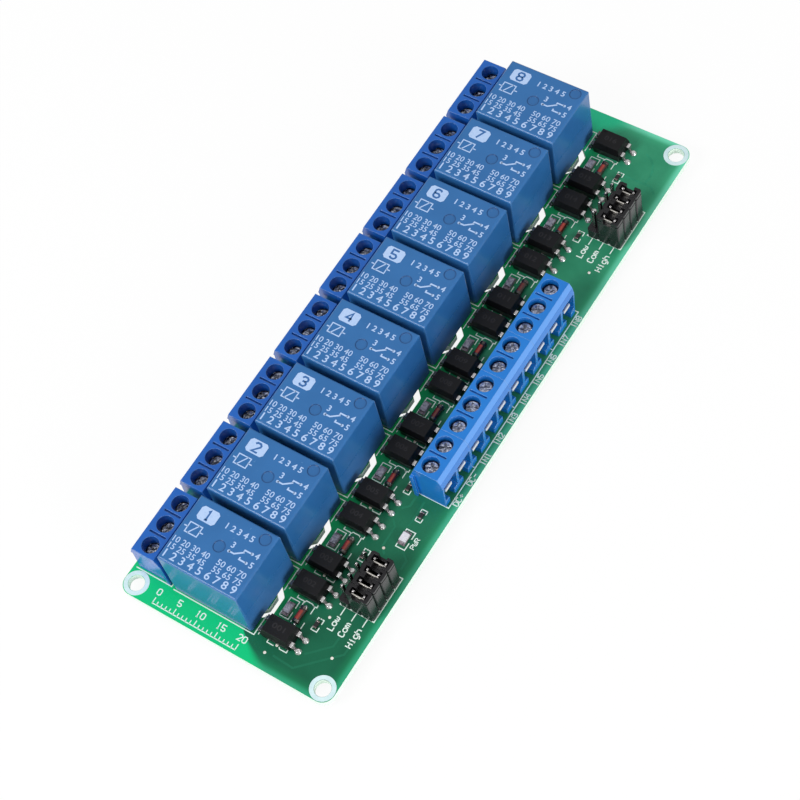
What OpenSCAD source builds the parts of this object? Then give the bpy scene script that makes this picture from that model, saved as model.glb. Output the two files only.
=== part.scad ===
// Eight-way relay module board: a long green circuit board that carries eight sealed
// relays, their screw terminals, a ten-way input strip, couplers and two jumper blocks.
// Origin: centre of the mounting-hole pattern on the underside of the board.
// X runs from the output terminals to the input strip, Y along the board, Z up.

/* [Board] */
// Width of the board, from the output edge to the input edge
board_w = 50; // [48:0.5:70]
// Bare board beyond the first and the last relay station
end_margin = 4.84; // [4.6:0.02:12]
// Thickness of the board
board_t = 1.6; // [1:0.1:2.4]
// Radius of the board's corners
corner_r = 2.6; // [1:0.1:4]
// Mounting-hole centres to the edges of the board
hole_inset = 2.75; // [2.7:0.05:3.5]
// Diameter of the four mounting holes
hole_d = 3.4; // [2.5:0.1:3.8]
// Outer diameter of the tinned ring round each mounting hole
ring_d = 5.3; // [4.6:0.1:5.4]
// How far all the pins reach below the board
pin_tail = 1.9; // [1.4:0.1:3]

/* [Screw terminals] */
// Distance from one wire entry to the next
way_pitch = 5; // [4.8:0.02:5.2]
// Height of the terminal housings above the board
term_h = 10.7; // [10:0.1:12]
// Row of terminal pins to the edge of the board
term_inset = 5.7; // [5.6:0.1:8]
// Diameter of the screw wells
well_d = 3.6; // [3.4:0.05:4]
// Depth of the input screw heads in their wells
screw_sink_in = 1.5; // [0.5:0.1:2.5]
// Depth of the output screw heads in their wells
screw_sink_out = 2.6; // [0.5:0.1:3]

/* [Relays] */
// Gap between one output terminal and the next
station_gap = 1.54; // [1:0.02:4]
// Gap between one relay and the next
relay_gap = 1.3; // [0.6:0.05:3]
// Length of a relay across the board
relay_l = 18.85; // [18:0.05:20]
// Height of a relay above the board
relay_h = 14.8; // [14:0.1:17]
// How much each side of a relay leans in towards its top
relay_draft = 0.15; // [0:0.05:0.4]
// Thickness of the relay covers
cover_wall = 0.9; // [0.6:0.05:1.1]
// Gap between the output terminals and the relays
relay_setback = 1; // [0.4:0.1:2]

/* [Jumper blocks] */
// Distance between two header pins
pin_pitch = 2.54; // [2.4:0.02:2.7]
// Thickness of a square header pin
pin_w = 0.64; // [0.5:0.02:0.7]
// Height of the header's plastic base
header_h = 2.5; // [2:0.1:3]
// Height of a jumper cap
cap_h = 6; // [5:0.1:7]
// Centres of the two jumper blocks from the middle of the board
header_y = 47.3; // [45:0.1:52]
// Middle pins of the jumper blocks to the edge of the board
header_inset = 5.45; // [5:0.05:8]

/* [Small parts] */
// Moulded body of a coupler along the board
coupler_w = 4.6; // [4.4:0.05:4.8]
// Height of a coupler's body
coupler_h = 3.5; // [3.2:0.1:3.8]
// Distance between the two legs on one side of a coupler
leg_pitch = 2.54; // [2.4:0.02:2.6]
// Thickness of a coupler's legs
leg_t = 0.25; // [0.2:0.01:0.3]
// Length of a chip lamp
lamp_l = 3; // [2.8:0.1:3.2]
// Width of a chip lamp
lamp_w = 1.5; // [1.3:0.1:1.6]
// Length of a glass diode with its end caps
diode_l = 3.5; // [3.3:0.1:3.7]
// Diameter of a diode's glass tube
diode_d = 1.4; // [1.2:0.05:1.5]
// Length of a chip resistor
resistor_l = 1.6; // [1.5:0.1:1.7]
// Width of a chip resistor
resistor_w = 0.84; // [0.76:0.02:0.9]

/* [Hidden] */
$fn = 48;
stations = 8;
board_z = board_t;                       // top face of the board
station = 3 * way_pitch + station_gap;   // distance from one relay to the next
board_l = stations * station + 2 * end_margin;
term_x = board_w / 2 - term_inset;       // row of terminal pins
term_back = 3.4;                         // pin row to the back of a housing
relay_w = station - relay_gap;
relay_x = -term_x + term_back + relay_setback + relay_l / 2;
relay_face = relay_x + relay_l / 2;      // side of the relays that faces the couplers
relay_foot = 0.3;
room = term_x - term_back - relay_face;  // from the relays to the input strip
coupler_x = relay_face + 0.456 * room;   // centre of the couplers
coupler_l = 0.544 * room;                // body of a coupler across the board
leg_reach = 0.4 * room;                  // from its centre to the tips of its legs
led_x = relay_face + 0.297 * room;
diode_x = relay_face + 0.536 * room;
resistor_x = relay_face + 0.849 * room;
coupler_low = -0.317 * station;          // couplers from the middle of their station
coupler_high = 0.332 * station;
part_y = -0.015 * station;               // lamp, diode and resistor likewise
supply_lamp_y = -5 * way_pitch - 0.586 * station;
supply_resistor_y = -5 * way_pitch - 0.242 * station;
header_x = board_w / 2 - header_inset;   // middle column of the jumper blocks
tin_t = 0.07;                            // thickness of the tinned copper
slack = 0.05;                            // running clearance between seated pieces

// Ways in each block of the input strip, from the DC end, and the middle of each block
strip_ways = [2, 3, 2, 3];
function ways_before(k) = k == 0 ? 0 : strip_ways[k - 1] + ways_before(k - 1);
function strip_y(k) = (ways_before(k) + strip_ways[k] / 2 - 5) * way_pitch;
function station_y(i) = (i - (stations + 1) / 2) * station;

// Where pins pass through the board: relay pins, seen from the middle of a relay
com_u = 0.378 * relay_l;
coil_u = 0.261 * relay_l;
throw_u = -0.383 * relay_l;
side_v = 0.395 * relay_w;
relay_pins = [[com_u, 0], [coil_u, side_v], [coil_u, -side_v],
    [throw_u, side_v], [throw_u, -side_v]];

// ---------- helpers ----------

// Rectangle with round corners, centred
module round_rect(w, l, r) {
    square([w - 2 * r, l], center = true);
    square([w, l - 2 * r], center = true);
    for (x = [-1, 1], y = [-1, 1]) translate([x * (w / 2 - r), y * (l / 2 - r)]) circle(r);
}

// Round-ended slot from p to q
module slot(p, q, w) {
    run = q - p;
    for (e = [p, q]) translate(e) circle(w / 2);
    translate(p) rotate(atan2(run.y, run.x)) translate([0, -w / 2]) square([norm(run), w]);
}

// A profile drawn in X and Z, pulled out along Y and centred
module pull_y(l) {
    rotate([90, 0, 0]) linear_extrude(l, center = true) children();
}

// A profile drawn in Y and Z, pulled out along X and centred
module pull_x(l) {
    rotate([90, 0, 90]) linear_extrude(l, center = true) children();
}

// Box from its centre in X and Y and its foot in Z
module block(w, l, h) {
    translate([-w / 2, -l / 2, 0]) cube([w, l, h]);
}

module at_station(i) {
    translate([0, station_y(i), board_z]) children();
}

module each_station() {
    for (i = [1:stations]) at_station(i) children();
}

module each_relay() {
    each_station() translate([relay_x, 0, 0]) children();
}

// ---------- circuit board ----------

// Isolation slot beside a relay: straight, with both ends turned in under the relay
module isolation_slot() {
    x = relay_face + 0.8;
    run = 0.21 * station;                // half of the straight stretch and one bend
    y = -0.037 * station;
    for (s = [-1, 1]) slot([x, s * (run - 1.75) + y], [x - 1.75, s * run + y], 1.4);
    slot([x, 1.75 - run + y], [x, run - 1.75 + y], 1.4);
}

module pin_holes() {
    for (i = [1:stations]) translate([0, station_y(i)]) {
        for (p = relay_pins) translate([relay_x + p.x, p.y]) circle(0.75);
        for (n = [-1:1]) translate([-term_x, n * way_pitch]) circle(0.75);
    }
    for (n = [0:9]) translate([term_x, (n - 4.5) * way_pitch]) circle(0.75);
    for (s = [-1, 1], c = [-1:1], r = [0:3])
        translate([header_x + c * pin_pitch, s * header_y + (r - 1.5) * pin_pitch])
            circle(0.5);
}

module mounting_holes_2d(d) {
    for (x = [-1, 1], y = [-1, 1])
        translate([x * (board_w / 2 - hole_inset), y * (board_l / 2 - hole_inset)])
            circle(d / 2);
}

module circuit_board() {
    color("#1f8a4f") linear_extrude(board_t) difference() {
        round_rect(board_w, board_l, corner_r);
        mounting_holes_2d(hole_d);
        for (i = [1:stations]) translate([0, station_y(i)]) isolation_slot();
        pin_holes();
    }
}

module mounting_rings() {
    color("#d5d9d6") for (z = [-tin_t, board_t]) translate([0, 0, z])
        linear_extrude(tin_t) difference() {
            mounting_holes_2d(ring_d);
            mounting_holes_2d(hole_d + 0.1);
        }
}

// ---------- relays ----------

// Side view of the cover: leaning sides and two rounded top corners
module cover_profile(w) {
    r = 0.45;
    top = w / 2 - relay_draft;
    h = relay_h - relay_foot;
    polygon([[-w / 2, 0], [w / 2, 0], [top, h - r], [top - r, h], [r - top, h], [-top, h - r]]);
    for (s = [-1, 1]) translate([s * (top - r), h - r]) circle(r);
}

module relay_cover() {
    h = relay_h - relay_foot;
    color("#3a6ea8") translate([relay_x, 0, relay_foot]) difference() {
        intersection() {
            linear_extrude(h) round_rect(relay_l, relay_w, 0.7);
            pull_y(relay_w) cover_profile(relay_l);
            pull_x(relay_l) cover_profile(relay_w);
        }
        translate([0, 0, -1])
            block(relay_l - 2 * cover_wall, relay_w - 2 * cover_wall, h + 1 - cover_wall);
        // two round marks of the mould, one over the armature and one near a corner
        for (m = [[0.1, 0.2], [0.38 * relay_l, 0.365 * relay_w]])
            translate([m.x, m.y, h - 0.12]) cylinder(d = 2.4, h = 1);
    }
}

// Base plate inside the cover, on four feet
module relay_base() {
    top = 1.9 - relay_foot;
    w = relay_l - 2 * cover_wall - 2 * slack;
    l = relay_w - 2 * cover_wall - 2 * slack;
    translate([0, 0, relay_foot]) linear_extrude(top) difference() {
        square([w, l], center = true);
        for (p = relay_pins) translate(p) square([1.1, 1.1], center = true);
    }
    for (x = [-1, 1], y = [-1, 1])
        translate([x * (w / 2 - 2.6 - (x > 0 ? 3 : 1)), y * (l / 2 - 1.9) * 0.4, 0])
            cylinder(d = 1.6, h = relay_foot);
}

module relay_bases() {
    color("#30609a") each_relay() relay_base();
}

base_top = 1.9;
yoke_t = 1.2;
coil_foot = base_top + yoke_t;
armature_z = relay_h - 3.5;              // underside of the armature
pole_z = armature_z - 0.4;
yoke_u = com_u - 1.35;                   // inner face of the yoke's upright
yoke_w = relay_w / 2;
core_d = 0.262 * relay_w;
sleeve_d = core_d + 1.2;                 // tube of the bobbin, which the wire is wound on
coil_d = 0.64 * relay_w;
flange_t = 0.7;
pole_t = 0.7;

// Steel angle under the coil and up its side
module relay_yokes() {
    color("#b9bcc0") each_relay() {
        translate([-core_d, -yoke_w / 2, base_top])
            cube([yoke_u + core_d + yoke_t, yoke_w, yoke_t]);
        translate([yoke_u, -yoke_w / 2, coil_foot]) cube([yoke_t, yoke_w, armature_z - coil_foot]);
    }
}

// Iron core with its wider pole face
module relay_cores() {
    color("#c3c5c8") each_relay() translate([0, 0, coil_foot]) {
        cylinder(d = core_d, h = pole_z - coil_foot - pole_t);
        translate([0, 0, pole_z - coil_foot - pole_t]) cylinder(d = 1.65 * core_d, h = pole_t);
    }
}

module relay_bobbins() {
    top = pole_z - pole_t;
    color("#e8e4da") each_relay() difference() {
        union() {
            for (z = [coil_foot, top - flange_t]) translate([0, 0, z])
                cylinder(d = coil_d, h = flange_t);
            translate([0, 0, coil_foot]) cylinder(d = sleeve_d, h = top - coil_foot);
            translate([coil_u - 1, 0, coil_foot]) block(2, 2 * side_v + 1.2, flange_t);
        }
        translate([0, 0, coil_foot - 1]) cylinder(d = core_d + 2 * slack, h = top - coil_foot + 2);
    }
}

module relay_windings() {
    color("#b5622d") each_relay() translate([0, 0, coil_foot + flange_t])
        linear_extrude(pole_z - pole_t - coil_foot - 2 * flange_t) difference() {
            circle(d = coil_d - 0.6);
            circle(d = sleeve_d);
        }
}

module relay_armatures() {
    color("#b9bcc0") each_relay() translate([-1.1 * core_d, 0.2 - yoke_w / 2, armature_z])
        cube([yoke_u + yoke_t + 1.1 * core_d, yoke_w - 0.4, armature_t]);
}

// Contact leaf: riveted along the armature, turned down to the common pin
armature_t = 0.9;
spring_z = armature_z + armature_t;
spring_u = yoke_u + yoke_t;
module relay_springs() {
    color("#c98f4a") each_relay() {
        translate([throw_u - 1.1, -1.4, spring_z]) cube([spring_u - throw_u + 1.3, 2.8, 0.2]);
        translate([spring_u, -1.4, base_top]) cube([0.2, 2.8, spring_z - base_top]);
    }
}

// Silver contacts: two on the leaf, and one on each fixed blade
module relay_contacts() {
    color("#d9dadb") each_relay() translate([throw_u, 0, spring_z]) {
        translate([0, 0, 0.2]) cylinder(d = 2.2, h = 0.35);
        translate([0, 0, -0.4]) cylinder(d = 2.2, h = 0.4);
        translate([0, 0, 0.55]) cylinder(d = 2.2, h = 0.35);
        translate([0, 0, -1.2]) cylinder(d = 2.2, h = 0.35);
    }
}

// Fixed contact blades, each standing on its own pin
module relay_blades() {
    color("#c9a15a") each_relay() {
        for (s = [-1, 1]) {
            z = s > 0 ? spring_z + 0.9 : spring_z - 1.5;
            translate([throw_u - 0.9, s > 0 ? -1.1 : -side_v - 0.2, z])
                cube([1.8, side_v + 1.3, 0.3]);
            translate([throw_u - 0.5, s * side_v - 0.2, base_top]) cube([1, 0.4, z - base_top]);
        }
    }
}

module relay_pins() {
    color("#c6c9c9") each_relay() {
        for (p = relay_pins) {
            top = p.x == coil_u ? coil_foot : base_top;
            translate([p.x, p.y, -board_t - pin_tail])
                block(0.9, 0.4, top + board_t + pin_tail);
        }
    }
}

// ---------- screw terminals ----------
// Drawn with the pin row at the origin and the wire side towards +X

// End view of a housing; the output housings stand straighter than the input ones
module term_profile(lean) {
    front = lean ? [[3.5, 0], [3.9, term_h - 3.1], [3.6, term_h - 1.2], [2.95, term_h]]
        : [[4.3, 0], [3.9, term_h - 2.8], [2.9, term_h]];
    polygon(concat([[-term_back, 0]], front,
        [[1.0 - term_back, term_h], [-term_back, term_h - 2.8]]));
}

// Opening where the wire goes in: wide above, narrow between the two feet below
module mouth() {
    w = way_pitch - 0.7;
    foot = 1.9;
    top = term_h - 3.0;
    polygon([[-0.9, -1], [0.9, -1], [0.9, foot], [w / 2, foot + 0.5], [w / 2, top],
        [-w / 2, top], [-w / 2, foot + 0.5], [-0.9, foot]]);
}

// Rib on one end of a housing that slides into the groove of the next
module dovetail(grow) {
    translate([-term_back, 0]) polygon([[0, 0.2], [0, -0.7 - grow], [0.85 + grow, -0.7 - grow],
        [0.6 + grow, 0.2]]);
}

panel_bar = 0.75;
panel_sink = 0.3;

module housing(ways, lean) {
    l = ways * way_pitch;
    cage = way_pitch - 1.2;
    difference() {
        union() {
            pull_y(l) term_profile(lean);
            if (lean) translate([0, -l / 2, 0]) linear_extrude(term_h - 2.8) dovetail(0);
        }
        if (lean) translate([0, l / 2, -1]) linear_extrude(term_h - 1.8) dovetail(slack * 2);
        for (n = [0:ways - 1]) translate([0, (n + 0.5) * way_pitch - l / 2, 0]) {
            translate([0, 0, term_h - 4]) cylinder(d = well_d, h = 5);
            // room for the clamp, open to the wire side
            translate([-2.1, -cage / 2, 1]) cube([4.2, cage, term_h - 4.2]);
            if (lean) translate([4.3, 0, 0]) pull_x(5.6) mouth();
            else translate([1.5, -1.75, 1]) cube([5.5, 3.5, term_h - 4.6]);
            translate([-0.6, -0.6, -1]) cube([1.2, 1.2, 3]);
        }
        // one end of the output housings has a sunk panel, with a band above and a bar beside it
        if (!lean) translate([panel_bar - term_back, -l / 2 - 1, -1])
            cube([9, 1 + panel_sink, term_h - 1.4]);
        // moulded grooves between the wells
        if (ways > 1) for (n = [1:ways - 1])
            translate([-1.9, n * way_pitch - l / 2 - 0.2, term_h - 0.7]) cube([3.9, 0.4, 1]);
    }
}

// Metal cage that the screw draws up against the wire
module clamp() {
    w = way_pitch - 1.3;
    h = term_h - 4.4;
    difference() {
        translate([0, 0, 1]) block(3.9, w, h);
        translate([0, 0, 1.7]) block(6, w - 0.8, h - 2);
        translate([0, 0, h - 1]) cylinder(d = 2.9, h = 4);
        translate([0, 0, 0.5]) block(1.3, 1.2, 1.5);
    }
}

module screw(sink) {
    top = term_h - sink;
    foot = 2.9;
    difference() {
        union() {
            translate([0, 0, foot]) cylinder(d = 2.8, h = top - foot);
            translate([0, 0, top - 0.75]) cylinder(d = well_d - 0.4, h = 0.75);
        }
        for (a = [25, 115]) rotate(a) translate([0, 0, top - 0.55]) block(2.2, 0.5, 1);
        rotate(25) translate([0, 0, top - 0.35]) block(5, 0.55, 1);
    }
}

// Contact strip under the screw, with its tail through the board
module term_pin() {
    translate([0, 0, 1.75]) block(3, way_pitch - 2.7, 0.6);
    translate([0, 0, -board_t - pin_tail]) block(1, 0.8, 1.75 + board_t + pin_tail);
}

module output_side() {
    each_station() translate([-term_x, 0, 0]) mirror([1, 0, 0]) children();
}

module output_terminal(i) {
    color("#2f66c4") at_station(i) translate([-term_x, 0, 0]) mirror([1, 0, 0])
        housing(3, false);
}

module output_screws() {
    color("#8d8f92") output_side() for (n = [-1:1]) translate([0, n * way_pitch, 0])
        screw(screw_sink_out);
}

module output_clamps() {
    color("#c9cccf") output_side() for (n = [-1:1]) translate([0, n * way_pitch, 0]) clamp();
}

module output_pins() {
    color("#c6c9c9") output_side() for (n = [-1:1]) translate([0, n * way_pitch, 0]) term_pin();
}

module input_terminal(k) {
    color("#3b7bdb") translate([term_x, strip_y(k - 1), board_z])
        housing(strip_ways[k - 1], true);
}

module input_ways() {
    for (n = [0:9]) translate([term_x, (n - 4.5) * way_pitch, board_z]) children();
}

module input_screws() {
    color("#aeb1b5") input_ways() screw(screw_sink_in);
}

// The input clamps have a tongue that shows below the lip of the housing
tongue = [2.3, 2.2, 0.75];
module input_clamps() {
    color("#dfe2e5") input_ways() {
        clamp();
        translate([1.9, 0.4 - way_pitch / 2, term_h - 4.15]) cube(tongue);
    }
}

module input_pins() {
    color("#c6c9c9") input_ways() term_pin();
}

// ---------- couplers, diodes, lamps and resistors ----------

module each_coupler() {
    each_station() for (y = [coupler_low, coupler_high]) translate([coupler_x, y, 0]) children();
}

// Side view of a body of width w, widest at the parting line where the legs come out
parting_z = 0.54 * coupler_h;
module coupler_profile(w) {
    foot = w / 2 - 0.2;
    top = w / 2 - 0.45;
    polygon([[-foot, 0], [foot, 0], [w / 2, parting_z], [top, coupler_h], [-top, coupler_h],
        [-w / 2, parting_z]]);
}

module coupler_bodies() {
    color("#1c1d1f") each_coupler() translate([0, 0, 0.15]) difference() {
        intersection() {
            pull_y(coupler_w) coupler_profile(coupler_l);
            pull_x(coupler_l) coupler_profile(coupler_w);
        }
        translate([-0.31 * coupler_l, 0.24 * coupler_w, coupler_h - 0.12]) cylinder(d = 0.9, h = 1);
    }
}

// Gull-wing legs: a wider shoulder, then a narrow run down to a flat foot
leg_z = 0.15 + parting_z + leg_t / 2;
leg_w = 0.6;
module leg_profile() {
    out = coupler_l / 2;
    knee = out + 0.42 * (leg_reach - out);
    heel = leg_reach - 0.75;
    polygon([[out, leg_z], [knee, leg_z], [heel, leg_t], [leg_reach, leg_t], [leg_reach, 0],
        [heel - 0.2, 0], [knee - 0.2, leg_z - leg_t], [out, leg_z - leg_t]]);
}

module leg() {
    out = coupler_l / 2;
    pull_y(leg_w) leg_profile();
    intersection() {
        pull_y(1.1) leg_profile();
        translate([out, -1, leg_z - 0.6]) cube([2, 2, 1]);
    }
}

module each_leg() {
    each_coupler() for (side = [0, 1], y = [-0.5, 0.5]) translate([0, y * leg_pitch, 0])
        mirror([side, 0, 0]) children();
}

module coupler_legs() {
    color("#cfd2d3") each_leg() leg();
}

cap_w = 0.5;
module diode_tubes() {
    color("#a8402a") each_station() translate([diode_x, part_y, diode_d / 2 + 0.08])
        rotate([90, 0, 0]) cylinder(d = diode_d, h = diode_l - 2 * cap_w, center = true);
}

module diode_caps() {
    color("#3b3f42") each_station() for (s = [-1, 1])
        translate([diode_x, s * (diode_l - cap_w) / 2 + part_y, diode_d / 2 + 0.08])
            rotate([90, 0, 0]) cylinder(d = diode_d + 0.16, h = cap_w, center = true);
}

// Chip lamps: one for each relay, and the supply lamp
module each_lamp() {
    each_station() translate([led_x, part_y, 0]) children();
    translate([term_x, supply_lamp_y, board_z]) children();
}

lamp_base_h = 0.5;
module led_bases() {
    color("#e9ebe6") each_lamp() block(lamp_w, lamp_l, lamp_base_h);
}

module led_lenses() {
    color("#f3f4ef") each_lamp() translate([0, 0, lamp_base_h]) pull_y(0.64 * lamp_l)
        polygon([[-lamp_w / 2, 0], [lamp_w / 2, 0], [lamp_w / 2 - 0.1, 0.6],
            [0.1 - lamp_w / 2, 0.6]]);
}

// Chip resistors: one for each relay, and one in series with the supply lamp
module each_resistor() {
    each_station() translate([resistor_x, part_y, 0]) children();
    translate([header_x, supply_resistor_y, board_z]) children();
}

resistor_end = 0.3;
module resistor_bodies() {
    l = resistor_l - 2 * resistor_end;
    color("#26272a") each_resistor() translate([0, 0, 0.03]) block(resistor_w - 0.04, l, 0.42);
}

module resistor_ends() {
    color("#c8cbcb") each_resistor() for (s = [-1, 1])
        translate([0, s * (resistor_l - resistor_end) / 2, 0])
            block(resistor_w, resistor_end, 0.48);
}

// ---------- jumper blocks ----------

module each_header() {
    for (s = [-1, 1]) translate([header_x, s * header_y, board_z]) children();
}

module each_header_pin() {
    each_header() for (c = [-1:1], r = [0:3])
        translate([c * pin_pitch, (r - 1.5) * pin_pitch, 0]) children();
}

// Plastic base: twelve cells with cut corners, all in one moulding
module header_bases() {
    cut = 0.35;
    h = pin_pitch / 2;
    color("#18191a") each_header() linear_extrude(header_h) difference() {
        union() for (c = [-1:1], r = [0:3])
            translate([c * pin_pitch, (r - 1.5) * pin_pitch])
                polygon([[-h, cut - h], [cut - h, -h], [h - cut, -h], [h, cut - h],
                    [h, h - cut], [h - cut, h], [cut - h, h], [-h, h - cut]]);
        for (c = [-1:1], r = [0:3]) translate([c * pin_pitch, (r - 1.5) * pin_pitch])
            square(pin_w + 0.02, center = true);
    }
}

module header_pins() {
    top = header_h + cap_h - 0.5;
    color("#d8dadb") each_header_pin() {
        translate([0, 0, -board_t - pin_tail]) block(pin_w, pin_w, top + board_t + pin_tail);
        translate([0, 0, top]) rotate(45)
            cylinder(d1 = pin_w * sqrt(2), d2 = pin_w * 0.8, h = 0.3, $fn = 4);
    }
}

module each_cap() {
    for (s = [-1, 1], r = [0:3])
        translate([header_x + pin_pitch / 2, s * header_y + (r - 1.5) * pin_pitch,
            board_z + header_h]) children();
}

// Jumper cap over the middle and right columns: two lobes with a valley between them
cap_slot = 1.3;
module jumper_cap(j) {
    w = 2 * pin_pitch - 0.06;
    l = pin_pitch - 0.06;
    s = j > 4 ? 1 : -1;
    color("#222324")
        translate([header_x + pin_pitch / 2, s * header_y + ((j - 1) % 4 - 1.5) * pin_pitch,
            board_z + header_h]) difference() {
            union() {
                linear_extrude(cap_h - 1.0) round_rect(w, l, 0.5);
                translate([0, 0, cap_h - 1.0]) linear_extrude(0.3) round_rect(w - 0.5, l - 0.3, 0.4);
                translate([0, 0, cap_h - 0.7]) linear_extrude(0.7) round_rect(w, l, 0.5);
            }
            translate([0, 0, -1]) block(pin_pitch + 1.1, cap_slot, cap_h + 2);
            translate([0, 0, cap_h - 1.5]) block(1.9, l + 1, 2);
        }
}

// Sprung metal strip inside a cap, which joins its two pins
module jumper_clips() {
    t = 0.25;
    l = pin_pitch + 0.3;
    color("#c9c5bf") each_cap()
        translate([-l / 2, -pin_w / 2 - t, 0.6]) cube([l, t, cap_h - 1.2]);
}

// ---------- solder ----------

// Cone of solder round a pin below the board
module joint(w, l) {
    translate([0, 0, -board_t - 1]) difference() {
        cylinder(d1 = 1.5, d2 = 2.2, h = 1);
        translate([0, 0, -1]) block(w, l, 3);
    }
}

module solder_joints() {
    color("#c3c7c6") {
        each_relay() for (p = relay_pins) translate(p) joint(0.9, 0.4);
        output_side() for (n = [-1:1]) translate([0, n * way_pitch, 0]) joint(1, 0.8);
        input_ways() joint(1, 0.8);
        each_header_pin() joint(pin_w, pin_w);
    }
}

// Mound of solder round each coupler foot, smaller on the side of the relays
module solder_pads() {
    color("#d3d6d6") {
        each_coupler() for (side = [0, 1], y = [-0.5, 0.5]) translate([0, y * leg_pitch, 0])
            mirror([side, 0, 0]) difference() {
                d = side > 0 ? 0.9 : 1.4;
                translate([leg_reach - (side > 0 ? 0.5 : 0.15), 0, 0])
                    cylinder(d1 = d, d2 = 0.6 * d, h = 0.45);
                pull_y(leg_w) leg_profile();
            }
        // a bead at each end of a diode
        each_station() for (s = [-1, 1])
            translate([diode_x, s * (diode_l / 2 + 0.3) + part_y, 0])
                cylinder(d1 = 0.6, d2 = 0.4, h = 0.5);
    }
}

circuit_board();
mounting_rings();
for (i = [1:8]) at_station(i) relay_cover();
relay_bases();
relay_yokes();
relay_cores();
relay_bobbins();
relay_windings();
relay_armatures();
relay_springs();
relay_contacts();
relay_blades();
relay_pins();
for (i = [1:8]) output_terminal(i);
output_screws();
output_clamps();
output_pins();
for (k = [1:4]) input_terminal(k);
input_screws();
input_clamps();
input_pins();
coupler_bodies();
coupler_legs();
diode_tubes();
diode_caps();
led_bases();
led_lenses();
resistor_bodies();
resistor_ends();
header_bases();
header_pins();
for (j = [1:8]) jumper_cap(j);
jumper_clips();
solder_joints();
solder_pads();
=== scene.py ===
import math

import bmesh
import bpy
from mathutils import Euler, Matrix, Vector


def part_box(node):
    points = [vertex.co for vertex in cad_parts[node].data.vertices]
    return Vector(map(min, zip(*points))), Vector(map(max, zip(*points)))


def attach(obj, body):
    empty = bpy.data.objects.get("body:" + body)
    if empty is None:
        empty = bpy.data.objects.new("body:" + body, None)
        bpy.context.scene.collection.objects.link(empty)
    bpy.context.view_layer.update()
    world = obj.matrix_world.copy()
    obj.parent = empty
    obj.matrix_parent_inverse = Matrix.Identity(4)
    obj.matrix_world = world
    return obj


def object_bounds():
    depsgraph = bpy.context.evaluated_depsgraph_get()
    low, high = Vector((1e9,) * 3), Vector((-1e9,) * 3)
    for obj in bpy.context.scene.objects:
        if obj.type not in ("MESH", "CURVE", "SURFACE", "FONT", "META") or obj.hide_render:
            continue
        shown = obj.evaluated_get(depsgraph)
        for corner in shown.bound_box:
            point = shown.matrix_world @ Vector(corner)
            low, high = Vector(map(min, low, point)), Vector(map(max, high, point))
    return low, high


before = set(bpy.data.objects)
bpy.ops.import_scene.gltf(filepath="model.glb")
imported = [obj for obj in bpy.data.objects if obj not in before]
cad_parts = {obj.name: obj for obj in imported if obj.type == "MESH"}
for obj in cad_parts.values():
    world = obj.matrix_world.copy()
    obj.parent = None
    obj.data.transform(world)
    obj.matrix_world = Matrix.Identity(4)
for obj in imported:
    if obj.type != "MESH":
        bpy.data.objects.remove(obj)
cadLow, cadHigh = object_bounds()
mm = 0.001


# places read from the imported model, in millimetres

def series(name, count):
    return [f"{name}_{number}" for number in range(1, count + 1)]


def boxOf(name):
    low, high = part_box(name)
    return low / mm, high / mm


def middleOf(box):
    low, high = box
    return (low + high) / 2


def solidsOf(name):                              # box of each separate solid inside one node
    shell = bmesh.new()
    shell.from_mesh(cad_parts[name].data)
    bmesh.ops.remove_doubles(shell, verts=shell.verts, dist=0.0001 * mm)
    boxes, seen = [], set()
    for start in shell.verts:
        if start in seen:
            continue
        seen.add(start)
        waiting, group = [start], []
        while waiting:
            vert = waiting.pop()
            group.append(vert.co / mm)
            for edge in vert.link_edges:
                other = edge.other_vert(vert)
                if other not in seen:
                    seen.add(other)
                    waiting.append(other)
        boxes.append((Vector(map(min, *group)), Vector(map(max, *group))))
    shell.free()
    return sorted(boxes, key=lambda box: (box[0].y, box[0].x))


def farthestRight(boxes):
    return max(boxes, key=lambda box: box[0].x)


boardLow, boardHigh = boxOf("circuit_board")
boardTop = boardHigh.z
relayCovers = series("relay_cover", 8)
jumperCaps = series("jumper_cap", 8)
covers = [boxOf(name) for name in relayCovers]
relayLow, relayHigh = covers[0]
relayX = middleOf(covers[0]).x
relayTop = relayHigh.z
stationY = [middleOf(box).y for box in covers]
stationStep = stationY[1] - stationY[0]
wayY = [middleOf(box).y for box in solidsOf("input_screws")]
wayStep = wayY[1] - wayY[0]
couplers = solidsOf("coupler_bodies")
supplyLamp = farthestRight(solidsOf("led_bases"))
supplyResistor = farthestRight(solidsOf("resistor_bodies"))
headerLow, headerHigh = boxOf("header_bases")
headerX = (headerLow.x + headerHigh.x) / 2
pinPitch = (headerHigh.x - headerLow.x) / 3
capY = [middleOf(boxOf(name)).y for name in jumperCaps]
headerY = [sum(capY[:4]) / 4, sum(capY[4:]) / 4]
print("places read from the frame")


# shader maths

def tint(red, green, blue):                      # 0 to 255 as on screen, to a linear colour
    def channel(value):
        value /= 255
        return value / 12.92 if value <= 0.04045 else ((value + 0.055) / 1.055) ** 2.4
    return (channel(red), channel(green), channel(blue), 1)


def darker(colour, share):
    return tuple(part * share for part in colour[:3]) + (1,)


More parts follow.
